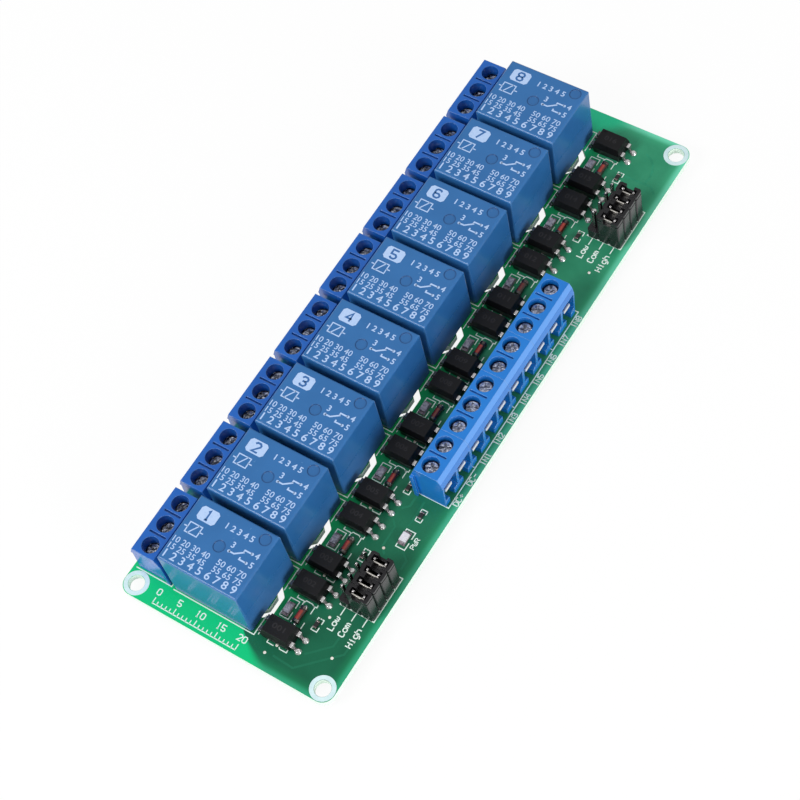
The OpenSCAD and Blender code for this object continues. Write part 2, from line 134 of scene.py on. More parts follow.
class Value:                                     # a socket that can stand in a sum
    def __init__(self, nodes, socket):
        self.nodes, self.socket = nodes, socket

    def reckon(self, operation, *values):
        return self.nodes.add("ShaderNodeMath", {"operation": operation}, values)

    def __add__(self, other):
        return self.reckon("ADD", self, other)

    def __radd__(self, other):
        return self.reckon("ADD", other, self)

    def __sub__(self, other):
        return self.reckon("SUBTRACT", self, other)

    def __rsub__(self, other):
        return self.reckon("SUBTRACT", other, self)

    def __mul__(self, other):
        return self.reckon("MULTIPLY", self, other)

    def __rmul__(self, other):
        return self.reckon("MULTIPLY", other, self)

    def __abs__(self):
        return self.reckon("ABSOLUTE", self)

    def least(self, other):
        return self.reckon("MINIMUM", self, other)

    def most(self, other):
        return self.reckon("MAXIMUM", self, other)

    def root(self):
        return self.reckon("SQRT", self)

    def sine(self):
        return self.reckon("SINE", self)

    def cycle(self, start, step):                # distance to the nearest of many even places
        return self.reckon("FLOORED_MODULO", self - start + step / 2, step) - step / 2

    def ramp(self, start, end):                  # 0 before start, 1 after end, even between
        return self.nodes.add("ShaderNodeMapRange", {},
                              {"Value": self, "From Min": start, "From Max": end})

    def rise(self, start, end):                  # the same, but smooth at both ends
        return self.nodes.add("ShaderNodeMapRange", {"interpolation_type": "SMOOTHSTEP"},
                              {"Value": self, "From Min": start, "From Max": end})


class Nodes:                                     # the nodes of one material or of the world
    def __init__(self, tree):
        self.tree = tree

    def plug(self, socket, value):
        if isinstance(value, Value):
            self.tree.links.new(value.socket, socket)
        else:
            socket.default_value = value

    def add(self, kind, settings, values, output=0):
        node = self.tree.nodes.new(kind)
        for key, value in settings.items():
            setattr(node, key, value)
        pairs = values.items() if isinstance(values, dict) else enumerate(values)
        for key, value in pairs:
            self.plug(node.inputs[key], value)
        return Value(self, node.outputs[output])

    def seenBy(self, *rays):                     # 1 for a ray of any of these kinds
        path = self.add("ShaderNodeLightPath", {}, {}).socket.node
        seen, *others = [Value(self, path.outputs[f"Is {ray} Ray"]) for ray in rays]
        for other in others:
            seen = seen.most(other)
        return seen


socketNames = {"colour": "Base Color", "roughness": "Roughness", "metallic": "Metallic",
               "normal": "Normal", "coat": "Coat Weight", "coatRoughness": "Coat Roughness",
               "specular": "Specular IOR Level"}


class Finish(Nodes):
    def __init__(self, name, **constants):
        self.material = bpy.data.materials.new(name)
        self.material.use_nodes = True
        super().__init__(self.material.node_tree)
        self.shader = self.tree.nodes["Principled BSDF"]
        self.feed(**constants)

    def feed(self, **values):
        for key, value in values.items():
            self.plug(self.shader.inputs[socketNames[key]], value)
        return self.material

    def place(self):                             # position in millimetres, as a vector
        spot = self.add("ShaderNodeTexCoord", {}, {}, "Object")
        return self.add("ShaderNodeVectorMath", {"operation": "SCALE"}, {0: spot, "Scale": 1 / mm})

    def normal(self):
        return self.add("ShaderNodeNewGeometry", {}, {}, "Normal")

    def parts(self, vector):
        node = self.add("ShaderNodeSeparateXYZ", {}, [vector]).socket.node
        return [Value(self, socket) for socket in node.outputs]

    def where(self):                             # x, y and z of the position
        return self.parts(self.place())

    def facing(self):                            # x, y and z of the way the surface faces
        return self.parts(self.normal())

    def noise(self, size, detail=3, roughness=0.5, stretch=(1, 1, 1)):
        spot = self.add("ShaderNodeVectorMath", {"operation": "MULTIPLY"}, [self.place(), stretch])
        return self.add("ShaderNodeTexNoise", {}, {"Vector": spot, "Scale": 1 / size,
                                                   "Detail": detail, "Roughness": roughness})

    def blend(self, factor, first, second):      # colours go in at sockets 6 and 7 and come out at 2
        return self.add("ShaderNodeMix", {"data_type": "RGBA"}, {0: factor, 6: first, 7: second}, 2)

    def soften(self, radius):                    # light catches the edges as if they were rounded
        return self.add("ShaderNodeBevel", {"samples": 4}, {"Radius": radius * mm})

    def bumps(self, height, depth, edge=None):
        values = {"Height": height, "Distance": depth * mm}
        if edge is not None:
            values["Normal"] = self.soften(edge)
        return self.add("ShaderNodeBump", {}, values)


# materials; a pair of numbers says where a change over the surface starts and ends

# the Far colours are lighter copies for the far end of the board, a painted sheen
boardLook = {
    "bare": tint(10, 192, 120), "bareFar": tint(42, 196, 144), "bareSheenAlong": (40, 68),
    "copper": tint(22, 98, 70), "copperFar": tint(52, 142, 106),
    "deep": tint(17, 90, 63), "deepFar": tint(42, 130, 96), "mottle": 7,
    # band and rim: the mask is lighter along the edges, where no copper lies under it, and painted light
    # shines in through the board's edge
    "band": tint(24, 124, 82), "bandFar": tint(60, 162, 120), "bandInset": (0.15, 3.2),
    "rim": tint(46, 156, 116), "rimFar": tint(104, 206, 170), "rimInset": (0.15, 1.65),
    "farSheenAlong": (-60, 66),
    # the next colour is painted shade beside the relays: a more saturated green where they keep
    # reflections off the mask
    "shadedLane": tint(22, 150, 86), "shadedLaneAcross": (5, 10.5), "shadedLaneEnds": (60, 66),
    "wall": tint(230, 246, 236), "wallDark": tint(204, 218, 196), "fibre": 0.35,
    "copperFrom": 2.15, "cornerFrom": 65.9, "cornerSlope": 0.946,
    "soft": 0.25, "softFar": 5, "softFarAlong": (50, 64), "softNear": 4, "softNearAlong": (-70.5, -66)}


def boardMask():                                 # green mask, darker where copper lies under it
    look = boardLook
    finish = Finish("boardMask", specular=0.2)
    x, y, _ = finish.where()
    # painted sheen: the mask is lighter towards the far end
    far = y.ramp(*look["farSheenAlong"])
    mottle = finish.noise(look["mottle"])
    patch = mottle.rise(0.35, 0.7)
    copper = finish.blend(far, finish.blend(patch, look["copper"], look["deep"]),
                          finish.blend(patch, look["copperFar"], look["deepFar"]))
    # painted shade: beside the relays the mask is a more saturated green, as where the relays keep
    # reflections off it
    shadedLane = (1 - x.rise(*look["shadedLaneAcross"])) * (1 - abs(y).rise(*look["shadedLaneEnds"]))
    copper = finish.blend(shadedLane, copper, look["shadedLane"])
    inset = (boardHigh.x - abs(x)).least(boardHigh.y - abs(y))
    # lighter along the edges: no copper under the mask there, and painted light shining in through the
    # board's edge
    for zone in ("band", "rim"):
        outside = finish.blend(far, look[zone], look[f"{zone}Far"])
        copper = finish.blend(inset.rise(*look[f"{zone}Inset"]), outside, copper)
    left = x - look["copperFrom"] - (abs(y) - look["cornerFrom"]).most(0) * look["cornerSlope"]
    soft = (y.rise(*look["softFarAlong"]) * look["softFar"]
            + (1 - y.rise(*look["softNearAlong"])) * look["softNear"] + look["soft"])
    # painted sheen: the bare mask is lighter towards the far end too
    bare = finish.blend(y.rise(*look["bareSheenAlong"]), look["bare"], look["bareFar"])
    colour = finish.blend(left.rise(-look["soft"], soft), bare, copper)
    side = 1 - abs(finish.facing()[2]).rise(0.4, 0.7)
    fibre = finish.noise(look["fibre"], detail=4, stretch=(1, 1, 6))
    wall = finish.blend(fibre.rise(0.4, 0.75) * 0.6, look["wall"], look["wallDark"])
    orangePeel = finish.noise(0.6, detail=2)
    return finish.feed(colour=finish.blend(side, colour, wall),
                       roughness=0.24 + side * 0.4 + mottle * 0.08,
                       normal=finish.bumps(orangePeel, 0.004))


# far is a lighter copy for the far end, a painted sheen
trackLook = {"near": tint(26, 106, 77), "far": tint(48, 144, 109), "patch": tint(24, 104, 76)}


def trackMask():                                 # a shade lighter than the mask round it
    finish = Finish("trackMask", specular=0.2)
    cloud = finish.noise(3)
    # painted sheen: lighter towards the far end
    far = finish.where()[1].ramp(*boardLook["farSheenAlong"])
    tone = finish.blend(far, trackLook["near"], trackLook["far"])
    tone = finish.blend(cloud.rise(0.35, 0.7) * 0.5, tone, trackLook["patch"])
    return finish.feed(colour=tone, roughness=0.3 + cloud * 0.1)


# the lighter edges of these plastics are a painted highlight, in the colour edgeLight
plasticLooks = {
    "relayBlue": {"colour": tint(46, 106, 166), "dark": tint(40, 98, 156), "roughness": 0.2, "edge": 0.25,
                  "scuff": tint(96, 146, 194), "wearAndEdgeHighlight": 0.5, "ringed": True, "mattFoot": 0.45},
    "relayBaseBlue": {"colour": tint(48, 92, 150), "dark": tint(38, 76, 130), "roughness": 0.45,
                      "edge": 0.08},
    "outputBlue": {"colour": tint(28, 100, 190), "dark": tint(22, 88, 176), "roughness": 0.2, "edge": 0.2,
                   "scuff": tint(70, 130, 204), "wearAndEdgeHighlight": 0.35},
    # the strip's pale slant colour is a painted reflection on its slanted side
    "inputBlue": {"colour": tint(25, 119, 204), "dark": tint(21, 108, 192), "roughness": 0.18, "edge": 0.2,
                  "scuff": tint(80, 150, 222), "wearAndEdgeHighlight": 0.4, "slantSheen": tint(92, 152, 226)},
    "blackEpoxy": {"colour": tint(17, 17, 19), "dark": tint(12, 12, 14), "roughness": 0.42, "edge": 0.08,
                   "grain": 0.12, "depth": 0.008, "specular": 0.27},
    "blackPlastic": {"colour": tint(28, 27, 30), "dark": tint(20, 20, 22), "roughness": 0.26, "edge": 0.08,
                     "grain": 0.3, "specular": 0.4},
    "bobbinWhite": {"colour": tint(226, 220, 206), "dark": tint(206, 198, 180), "roughness": 0.45,
                    "edge": 0.08},
    "resistorBlack": {"colour": tint(34, 32, 34), "dark": tint(22, 20, 22), "roughness": 0.3, "edge": 0.03,
                      "grain": 0.1, "depth": 0.004},
}

# round marks that the mould left on each relay cover
ringMarks = {"radius": 1.2, "shade": tint(18, 52, 104), "dish": 0.12, "rim": 0.5,
             "places": [(relayX + 0.1, stationY[0] + 0.2),
                        (relayX + 0.38 * (relayHigh.x - relayLow.x),
                         stationY[0] + 0.365 * (relayHigh.y - relayLow.y))]}
# colour of the painted highlight along plastic edges
edgeLight = tint(150, 190, 226)
mattFootHeight = (5, 10)


def mouldedPlastic(name, colour, dark, roughness, edge, grain=0.35, depth=0.005, specular=0.5,
                   scuff=None, wearAndEdgeHighlight=0.0, slantSheen=None, ringed=False, mattFoot=0.0):
    finish = Finish(name, specular=specular)
    x, y, z = finish.where()
    across, _, upward = finish.facing()
    cloud = finish.noise(5)
    speck = finish.noise(grain, roughness=0.6)
    tone = finish.blend(cloud.rise(0.3, 0.75) * 0.6, colour, dark)
    tone = finish.blend(speck.rise(0.62, 0.8) * 0.25, tone, dark)
    if scuff:
        rub = finish.noise(1.3, detail=5, roughness=0.7)
        tone = finish.blend(rub.rise(0.66, 0.74) * 0.5, tone, scuff)
    if slantSheen:                                # painted reflection: the slanted side of the strip is paler
        tone = finish.blend(across.rise(0.25, 0.5) * upward.rise(0.2, 0.5), tone, slantSheen)
    clear = 1                                    # edges near a round mark get no painted highlight
    for ringX, ringY in ringMarks["places"] if ringed else []:
        beside, beyond = x - ringX, y.cycle(ringY, stationStep)
        gap = (beside * beside + beyond * beyond).root() - ringMarks["radius"]
        dish = (1 - gap.rise(0.0, 0.1)) * upward.rise(0.5, 0.9) * ringMarks["dish"]
        rim = (1 - abs(gap).rise(0.06, 0.16)) * ringMarks["rim"]
        tone = finish.blend(dish, tone, ringMarks["shade"])
        tone = finish.blend(rim, tone, ringMarks["shade"])
        clear = gap.rise(0.25, 0.35) * clear
    if wearAndEdgeHighlight:                                     # painted highlight: edges are lighter
        turned = finish.add("ShaderNodeVectorMath", {"operation": "DOT_PRODUCT"},
                            [finish.soften(edge), finish.normal()], "Value")
        tone = finish.blend((1 - turned).rise(0.01, 0.2) * wearAndEdgeHighlight * clear, tone, edgeLight)
    rough = roughness + (speck - 0.5) * 0.12
    if mattFoot:                                 # the foot of the right side doesn't mirror the floor
        rough = rough + across.rise(0.4, 0.8) * (1 - z.rise(*mattFootHeight)) * mattFoot
    return finish.feed(colour=tone, roughness=rough, normal=finish.bumps(speck, depth, edge))


metalEdge = 0.05
metalLooks = {
    "clampSteel": {"colour": tint(236, 238, 242), "roughness": 0.25, "ripple": 1.2, "depth": 0.02,
                   "dull": 0.8},
    "clipSteel": {"colour": tint(236, 232, 224), "roughness": 0.24, "ripple": 0.4, "depth": 0.03,
                  "dull": 0.7},
    "softIron": {"colour": tint(176, 178, 180), "roughness": 0.38, "ripple": 1.2, "depth": 0.01},
    "springBrass": {"colour": tint(212, 160, 92), "roughness": 0.3, "ripple": 1.5, "depth": 0.01},
    "contactSilver": {"colour": tint(222, 220, 214), "roughness": 0.3, "ripple": 0.8, "depth": 0.01},
    "darkMetal": {"colour": tint(112, 106, 104), "roughness": 0.24, "ripple": 0.3, "depth": 0.04,
                  "dull": 0.25},
    "trackTin": {"colour": tint(206, 210, 210), "roughness": 0.34, "ripple": 1.4, "depth": 0.08},
}


def plainMetal(name, colour, roughness, ripple, depth, dull=0.5):
    finish = Finish(name, metallic=1)
    cloud = finish.noise(ripple, detail=4, roughness=0.6)
    tone = finish.blend(cloud.rise(0.3, 0.8) * 0.6, colour, darker(colour, dull))
    return finish.feed(colour=tone, roughness=roughness + cloud * 0.18,
                       normal=finish.bumps(cloud, depth, metalEdge))


# the vias are near white: a painted highlight that keeps them bright in shade
mattTinLooks = {"ringTin": {"light": tint(220, 244, 246), "dark": tint(204, 230, 234)},
                "viaTin": {"light": tint(246, 242, 234), "dark": tint(218, 206, 192)}}


def mattTin(name, light, dark):                  # rolled flat, and almost white; on the vias the near-white is a painted highlight that keeps them bright in shade
    finish = Finish(name, metallic=0.3)
    cloud = finish.noise(1.2, detail=4, roughness=0.6)
    tone = finish.blend(cloud.rise(0.3, 0.75), light, dark)
    return finish.feed(colour=tone, roughness=0.42 + cloud * 0.2,
                       normal=finish.bumps(cloud, 0.01, metalEdge))


# each pool gets a painted highlight on its crown and painted shade on its flanks
solderLooks = {
    "tinned": {"bright": tint(222, 218, 218), "dark": tint(96, 92, 94)},
    "legTin": {"bright": tint(240, 238, 238), "dark": tint(122, 118, 120), "besideRelayShade": 0.85,
               "metallic": 0.75},
    "dullTin": {"bright": tint(150, 140, 136), "dark": tint(66, 60, 60)},
}
# painted shade on the legs and pads close beside the relays
besideRelayShadeLook = {"colour": tint(52, 52, 54), "across": (6.4, 7.4)}


def solderTin(name, bright, dark, besideRelayShade=0.0, metallic=1.0):
    finish = Finish(name, metallic=metallic)     # pools with a painted highlight on the crown and painted shade on the flanks
    upward = abs(finish.facing()[2])
    cloud = finish.noise(0.45, roughness=0.6)
    tone = finish.blend(upward.rise(-0.2, 0.75) * cloud.rise(0.15, 0.45), dark, bright)
    if besideRelayShade:                                  # painted shade: darker close beside the relays
        shadedLane = 1 - finish.where()[0].rise(*besideRelayShadeLook["across"])
        tone = finish.blend(shadedLane * besideRelayShade, tone, besideRelayShadeLook["colour"])
    return finish.feed(colour=tone, roughness=0.14 + cloud * 0.16,
                       normal=finish.bumps(cloud, 0.06, 0.12))


screwLooks = {
    "inputScrews": {"node": "input_screws", "colour": tint(204, 208, 222), "dull": 0.4, "depth": 0.34,
                    "roughness": 0.26},
    "outputScrews": {"node": "output_screws", "colour": tint(206, 210, 218), "dull": 0.28, "depth": 0.42,
                     "roughness": 0.22, "byStation": True},
}
# the dark rim of each screw head is a painted shadow cast by the well's wall
screwRimShadow = {"shade": tint(22, 30, 52), "radius": (1.18, 1.4), "edge": 0.1}


def screwMetal(name, node, colour, dull, depth, roughness, byStation=False):
    finish = Finish(name, metallic=1)            # plated, scuffed by the driver, with a painted shadow round the rim
    x, y, _ = finish.where()
    beside = x - middleOf(boxOf(node)).x
    if byStation:
        beyond = y.cycle(stationY[0], stationStep).cycle(0, wayStep)
    else:
        beyond = y.cycle(wayY[0], wayStep)
    radius = (beside * beside + beyond * beyond).root()
    scuff = finish.noise(0.75, roughness=0.55)
    streak = finish.noise(0.5, detail=2, stretch=(1, 1, 0.2))
    tone = finish.blend(scuff.rise(0.42, 0.6), colour, darker(colour, dull))
    tone = finish.blend(radius.rise(*screwRimShadow["radius"]), tone, screwRimShadow["shade"])
    return finish.feed(colour=tone, roughness=roughness + streak * 0.2,
                       normal=finish.bumps(scuff + streak * 0.4, depth, screwRimShadow["edge"]))


windingLook = {"wire": 0.12, "gap": tint(120, 52, 22), "copper": tint(206, 122, 70)}


def copperWinding():
    finish = Finish("copperWinding", metallic=0.8)
    turns = (finish.where()[2] * (2 * math.pi / windingLook["wire"])).sine()
    tone = finish.blend(turns.rise(-1, 1), windingLook["gap"], windingLook["copper"])
    return finish.feed(colour=tone, roughness=0.35 + finish.noise(1.5) * 0.1,
                       normal=finish.bumps(turns, 0.02))


# shade colours the cathode band, and as painted shade the flanks of the tube
diodeLook = {"glow": tint(172, 58, 40), "ember": tint(120, 34, 24), "dim": tint(74, 28, 22),
             "shade": tint(44, 20, 18), "cathode": (0.45, 0.75), "change": 23}


def diodeGlass():                                # the chip shows through the crown of the tube; the flanks are painted in shade
    look = diodeLook
    finish = Finish("diodeGlass", specular=0.5, coat=0.6, coatRoughness=0.05)
    cathode = finish.where()[1].cycle(stationY[0], stationStep).rise(*look["cathode"])
    crown = finish.facing()[2].rise(0.66, 1.02)
    cloud = finish.noise(0.5)
    glow = finish.blend(cloud.rise(0.3, 0.75) * 0.5, look["glow"], look["ember"])
    glow = finish.blend(finish.noise(look["change"], detail=0).rise(0.47, 0.6) * 0.75, glow, look["dim"])
    tone = finish.blend(crown * (1 - cathode), look["shade"], glow)
    return finish.feed(colour=tone, roughness=0.12 + cloud * 0.1)


lampLook = {"dull": tint(176, 174, 184), "dullPatch": tint(104, 104, 116),
            "clear": tint(222, 219, 226), "clearPatch": tint(176, 170, 182), "clearAcross": (12, 13),
            "carrier": tint(84, 72, 82), "plating": tint(150, 138, 144)}


def lampLens():                                  # the supply lamp is whiter than the others
    look = lampLook
    finish = Finish("lampLens", specular=0.3)
    cloud = finish.noise(0.5, roughness=0.6)
    supply = finish.where()[0].rise(*look["clearAcross"])
    dull = finish.blend(cloud.rise(0.3, 0.7), look["dull"], look["dullPatch"])
    clear = finish.blend(cloud.rise(0.4, 0.8) * 0.4, look["clear"], look["clearPatch"])
    return finish.feed(colour=finish.blend(supply, dull, clear), roughness=0.3 + cloud * 0.2,
                       normal=finish.bumps(cloud, 0.03, 0.1))


def lampBase():                                  # dark plated ends of the chip carrier
    finish = Finish("lampBase")
    cloud = finish.noise(0.4, detail=4, roughness=0.6)
    tone = finish.blend(cloud.rise(0.35, 0.6), lampLook["carrier"], lampLook["plating"])
    return finish.feed(colour=tone, metallic=cloud.rise(0.5, 0.7) * 0.6, roughness=0.3 + cloud * 0.2,
                       normal=finish.bumps(cloud, 0.03, 0.04))


inkLooks = {
    "whiteInk": {"colour": tint(226, 241, 233), "wearAndEdgeHighlight": tint(190, 222, 206)},
    "relayInk": {"colour": tint(176, 200, 236), "wearAndEdgeHighlight": tint(142, 176, 222)},
    "relayGround": {"colour": tint(56, 104, 164), "wearAndEdgeHighlight": tint(50, 98, 156)},
    "laserMark": {"colour": tint(44, 43, 45), "wearAndEdgeHighlight": tint(32, 31, 33), "specular": 0.2},
}


def printInk(name, colour, wearAndEdgeHighlight, specular=0.25):
    finish = Finish(name, specular=specular)
    cloud = finish.noise(0.5, detail=4, roughness=0.6)
    tone = finish.blend(cloud.rise(0.45, 0.8) * 0.5, colour, wearAndEdgeHighlight)
    return finish.feed(colour=tone, roughness=0.5 + cloud * 0.15, normal=finish.bumps(cloud, 0.004))


finishes = {"boardMask": boardMask(), "trackMask": trackMask(), "copperWinding": copperWinding(),
            "diodeGlass": diodeGlass(), "lampLens": lampLens(), "lampBase": lampBase()}
for make, looks in ((mouldedPlastic, plasticLooks), (plainMetal, metalLooks), (mattTin, mattTinLooks),
                    (solderTin, solderLooks), (screwMetal, screwLooks), (printInk, inkLooks)):
    for name, look in looks.items():
        finishes[name] = make(name, **look)

wearers = {
    "boardMask": ["circuit_board"],
    "ringTin": ["mounting_rings"],
    "relayBlue": relayCovers,
    "relayBaseBlue": ["relay_bases"],
    "softIron": ["relay_yokes", "relay_cores", "relay_armatures"],
    "bobbinWhite": ["relay_bobbins"],
    "copperWinding": ["relay_windings"],
    "springBrass": ["relay_springs", "relay_blades"],
    "contactSilver": ["relay_contacts"],
    "tinned": ["relay_pins", "output_pins", "input_pins", "header_pins", "solder_joints"],
    "legTin": ["coupler_legs", "solder_pads"],
    "dullTin": ["resistor_ends"],
    "clipSteel": ["jumper_clips"],
    "outputBlue": series("output_terminal", 8),
    "inputBlue": series("input_terminal", 4),
    "outputScrews": ["output_screws"],
    "inputScrews": ["input_screws"],
    "clampSteel": ["output_clamps", "input_clamps"],
    "blackEpoxy": ["coupler_bodies"],
    "diodeGlass": ["diode_tubes"],
    "darkMetal": ["diode_caps"],
    "lampBase": ["led_bases"],
    "lampLens": ["led_lenses"],
    "resistorBlack": ["resistor_bodies"],
    "blackPlastic": ["header_bases"] + jumperCaps,
}


def dress(nodeName, material):
    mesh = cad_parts[nodeName].data
    if not mesh.materials:
        mesh.materials.append(material)
    for index in range(len(mesh.materials)):
        mesh.materials[index] = material


for finishName, nodeNames in wearers.items():
    for nodeName in nodeNames:
        dress(nodeName, finishes[finishName])
print("materials on", sum(len(names) for names in wearers.values()), "nodes")


# thin printed or plated shapes on a flat face

# letters drawn with a pen: each pair of digits is a column and a row, and a slash lifts the pen
letterStrokes = {
    "0": "12 32 43 47 38 18 07 03 12", "1": "17 28 22/12 32", "2": "07 18 38 47 46 02 42",
    "3": "07 18 38 47 46 35 44 43 32 12 03/35 15", "4": "32 38 04 44",
    "5": "48 08 05 35 44 43 32 12 03", "6": "47 38 18 07 03 12 32 43 44 35 05",
    "7": "08 48 12", "8": "15 06 07 18 38 47 46 35 15 04 03 12 32 43 44 35",
    "C": "47 38 18 07 03 12 32 43", "D": "02 08 28 47 43 22 02", "H": "02 08/05 45/48 42",
    "I": "12 32/22 28/18 38", "L": "08 02 42", "N": "02 08 42 48", "P": "02 08 38 47 46 35 05",
    "R": "02 08 38 47 46 35 05/25 42", "W": "08 03 12 23 32 43 48/23 26",
    "g": "45 36 16 05 03 12 32 43/46 41 30 10", "h": "02 08/05 16 36 45 42",
    "i": "16 26 22/12 32/27 28", "m": "02 06 16 25 22/25 36 45 42",
    "o": "12 32 43 45 36 16 05 03 12", "w": "06 03 12 23 32 43 46/23 25",
    "+": "05 45/27 23", "-": "05 45"}
lettering = {"columns": 4, "rows": 6, "middleRow": 5, "pitch": 5.4, "fontScale": 1.38, "fontSteps": 3}
mitreLimit = 0.5


def textLength(text, height):
    return (lettering["pitch"] * (len(text) - 1) + lettering["columns"]) * height / lettering["rows"]


def sidePaths(path, half, closed):               # the two edges of a line with mitred corners
    left, right = [], []
    for index, point in enumerate(path):
        before = path[index - 1] if closed or index > 0 else None
        after = path[(index + 1) % len(path)] if closed or index < len(path) - 1 else None
        into = (point - before).normalized() if before is not None else (after - point).normalized()
        out = (after - point).normalized() if after is not None else into
        along = (into + out).normalized()
        across = Vector((-along.y, along.x)) * (half / max(along.dot(into), mitreLimit))
        left.append(point + across)
        right.append(point - across)
    return left, right


class Print:
    def __init__(self, name, face, proud):       # as deep in the face as it stands proud of it
        self.name, self.face, self.proud = name, face, proud
        self.shape = bmesh.new()

    def slab(self, outline):                     # closed plate with this outline, in millimetres
        top = [self.shape.verts.new((x, y, self.face + self.proud)) for x, y in outline]
        foot = [self.shape.verts.new((x, y, self.face - self.proud)) for x, y in outline]
        self.shape.faces.new(top)
        self.shape.faces.new(list(reversed(foot)))
        for index in range(len(outline)):
            after = (index + 1) % len(outline)
            self.shape.faces.new((top[index], foot[index], foot[after], top[after]))

    def line(self, points, width, closed=False):
        path = [Vector(point) for point in points]
        left, right = sidePaths(path, width / 2, closed)
        if not closed:
            self.slab(right + list(reversed(left)))
            return
        for index in range(len(path)):
            after = (index + 1) % len(path)
            self.slab([right[index], right[after], left[after], left[index]])

    def lines(self, paths, width, x=0, y=0):     # several lines, all moved by x and y
        for points in paths:
            self.line([(pointX + x, pointY + y) for pointX, pointY in points], width)

    def disc(self, x, y, diameter, sides=20):
        turn = 2 * math.pi / sides
        self.slab([(x + diameter / 2 * math.cos(turn * n), y + diameter / 2 * math.sin(turn * n))
                   for n in range(sides)])

    def strokes(self, text, x, y, height, angle=0, width=0.23):
        unit = height / lettering["rows"]
        turn = Matrix.Rotation(math.radians(angle), 2)
        start = -textLength(text, height) / 2
        for index, letter in enumerate(text):
            left = start + index * lettering["pitch"] * unit
            for stroke in letterStrokes[letter].split("/"):
                pairs = [(int(pair[0]), int(pair[1]) - lettering["middleRow"]) for pair in stroke.split()]
                path = [turn @ Vector((left + column * unit, row * unit)) for column, row in pairs]
                self.line([(point.x + x, point.y + y) for point in path], width)

    def words(self, text, x, y, height, weight, width=None):
        curve = bpy.data.curves.new("lettering", "FONT")
        curve.body, curve.size, curve.offset = text, height * lettering["fontScale"], weight
        curve.extrude, curve.align_x, curve.align_y = self.proud, "CENTER", "CENTER"
        curve.resolution_u = lettering["fontSteps"]
        holder = bpy.data.objects.new("lettering", curve)
        bpy.context.scene.collection.objects.link(holder)
        bpy.context.view_layer.update()
        evaluated = holder.evaluated_get(bpy.context.evaluated_depsgraph_get())
        mesh = bpy.data.meshes.new_from_object(evaluated)
        across = [vert.co.x for vert in mesh.vertices]
        stretch = width / (max(across) - min(across)) if width else 1
        middle = (max(across) + min(across)) / 2
        shift = Matrix.Translation((x - middle * stretch, y, self.face))
        mesh.transform(shift @ Matrix.Diagonal((stretch, 1, 1, 1)))
        self.shape.from_mesh(mesh)
        bpy.data.objects.remove(holder)
        bpy.data.curves.remove(curve)
        bpy.data.meshes.remove(mesh)

    def done(self, finish):
        bmesh.ops.scale(self.shape, vec=(mm, mm, mm), verts=self.shape.verts)
        bmesh.ops.recalc_face_normals(self.shape, faces=self.shape.faces)
        mesh = bpy.data.meshes.new(self.name)
        self.shape.to_mesh(mesh)
        self.shape.free()
        mesh.materials.append(finishes[finish])
        piece = bpy.data.objects.new(self.name, mesh)
        bpy.context.scene.collection.objects.link(piece)
        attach(piece, "root")


# white print on the board; places along a station are measured from the middle of its relay

silk = {"proud": 0.02, "line": 0.22, "thin": 0.2}

stationMarks = {
    "half": 7.85, "relayBack": -14.95, "relayFront": 4.47, "slotNear": -3.35, "slotFar": 2.7,
    "terminalEdge": -24.3, "terminalBack": -15.6, "terminalNear": -7.55, "terminalFar": 7.75,
    "lamp": [[(6.5, -2.0), (8.56, -2.0), (8.56, -0.33)],
             [(8.56, 0.56), (8.56, 2.1), (6.5, 2.1), (6.5, -2.0)]],
    "diode": [[(9.29, 1.15), (9.29, 2.5), (9.6, 2.95), (11.0, 2.95), (11.78, 2.5), (11.78, 1.0)],
              [(9.29, -1.35), (9.29, -2.2)], [(11.8, -1.0), (11.8, -2.67)]],
    "resistor": [[(14.05, 1.2), (13.58, 1.2), (13.58, 0.3)], [(14.4, 1.2), (14.88, 1.2), (14.88, 0.25)],
                 [(13.58, -0.6), (13.58, -1.5), (14.88, -1.5), (14.88, -0.5)],
                 [(13.9, 1.2), (14.5, 1.2)]],
    "couplers": [[(7.58, 3.25), (7.58, 2.68), (9.25, 2.68)], [(11.3, 2.68), (12.15, 2.68), (12.15, 3.25)],
                 [(7.56, -7.3), (7.56, -7.87), (9.1, -7.87)],
                 [(10.25, -7.55), (10.5, -7.87), (12.1, -7.87), (12.1, -7.2)],
                 [(5.2, -7.4), (5.2, -3.4)], [(5.2, 3.4), (5.2, 7.4)]]}


def stationPrint(ink, middle):
    look = stationMarks
    half, front, back = look["half"], look["relayFront"], look["relayBack"]
    edge, inner = look["terminalEdge"], look["terminalBack"]
    near, far = look["terminalNear"], look["terminalFar"]
    ink.lines([[(back, -half), (front, -half), (front, look["slotNear"])],
               [(front, look["slotFar"]), (front, half), (back, half)],
               [(edge, near), (inner, near), (inner, far), (edge, far)]], silk["line"], y=middle)
    for part in ("lamp", "diode", "resistor", "couplers"):
        ink.lines(look[part], silk["thin"], y=middle)


headerMarks = {"left": 15.67, "right": 23.5, "near": -5.0, "far": 5.3, "hook": 0.95, "stub": 0.3,
               "ticks": (2.7, 0.1, -2.5), "tickLength": 0.5, "leader": 1.95,
               "words": ("Low", "Com", "High"), "wordHeight": 1.2, "wordAside": -0.25,
               "wordFrom": 2.45, "wordDrift": 0.1}


def headerPrint(ink, middle):
    look = headerMarks
    near, far, left, right = middle + look["near"], middle + look["far"], look["left"], look["right"]
    ink.line([(right - look["hook"], far), (right, far), (right, near), (left, near),
              (left, near + look["stub"])], silk["line"])
    for tick in look["ticks"]:
        ink.line([(right, middle + tick), (right - look["tickLength"], middle + tick)], silk["thin"])
    for column, word in enumerate(look["words"]):
        x = headerX + (column - 1) * pinPitch
        end = near - look["wordFrom"] - look["wordDrift"] * column
        ink.line([(x, near), (x, near - look["leader"])], silk["line"])
        ink.strokes(word, x + look["wordAside"], end - textLength(word, look["wordHeight"]) / 2,
                    look["wordHeight"], 90)


